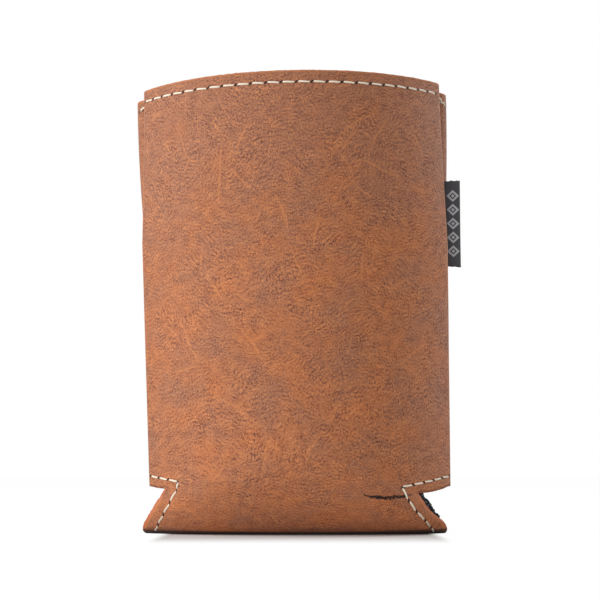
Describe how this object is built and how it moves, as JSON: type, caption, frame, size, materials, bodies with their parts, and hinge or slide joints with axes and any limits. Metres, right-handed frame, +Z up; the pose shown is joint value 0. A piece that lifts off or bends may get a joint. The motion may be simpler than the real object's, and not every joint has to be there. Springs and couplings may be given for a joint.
{
  "type": "can cooler sleeve",
  "caption": "Collapsible tan leather sleeve with a black foam lining, folded base, notched bottom corners, cream topstitching and a side label, standing half open.",
  "frame": {"origin": "on the ground under the middle of the base, midway between the two side seams at the base", "axes": "+Z up towards the open rim, -Y out of the front panel, +X towards the seam that holds the label"},
  "size_m": [0.1014, 0.0603, 0.1363],
  "materials": {
    "leather": "distressed tan pull-up leather, mottled, with dark pores and orange scuffs",
    "lining_foam": "matte black foam faced with a fine knit",
    "topstitch_thread": "thick cream bonded thread, slightly glossy",
    "seam_thread": "matte black sewing thread",
    "label_tape": "black woven damask tape"
  },
  "bodies": {
    "root": {"leather_shell": "leather", "lining": "lining_foam", "rim_top_thread": "topstitch_thread", "rim_front_bobbin_thread": "seam_thread", "rim_back_bobbin_thread": "seam_thread", "left_notch_top_thread": "topstitch_thread", "left_notch_bobbin_thread": "seam_thread", "right_notch_top_thread": "topstitch_thread", "right_notch_bobbin_thread": "seam_thread", "left_seam_front_thread": "seam_thread", "left_seam_back_thread": "seam_thread", "right_seam_front_thread": "seam_thread", "right_seam_back_thread": "seam_thread", "side_label": "label_tape"}
  },
  "joints": []
}
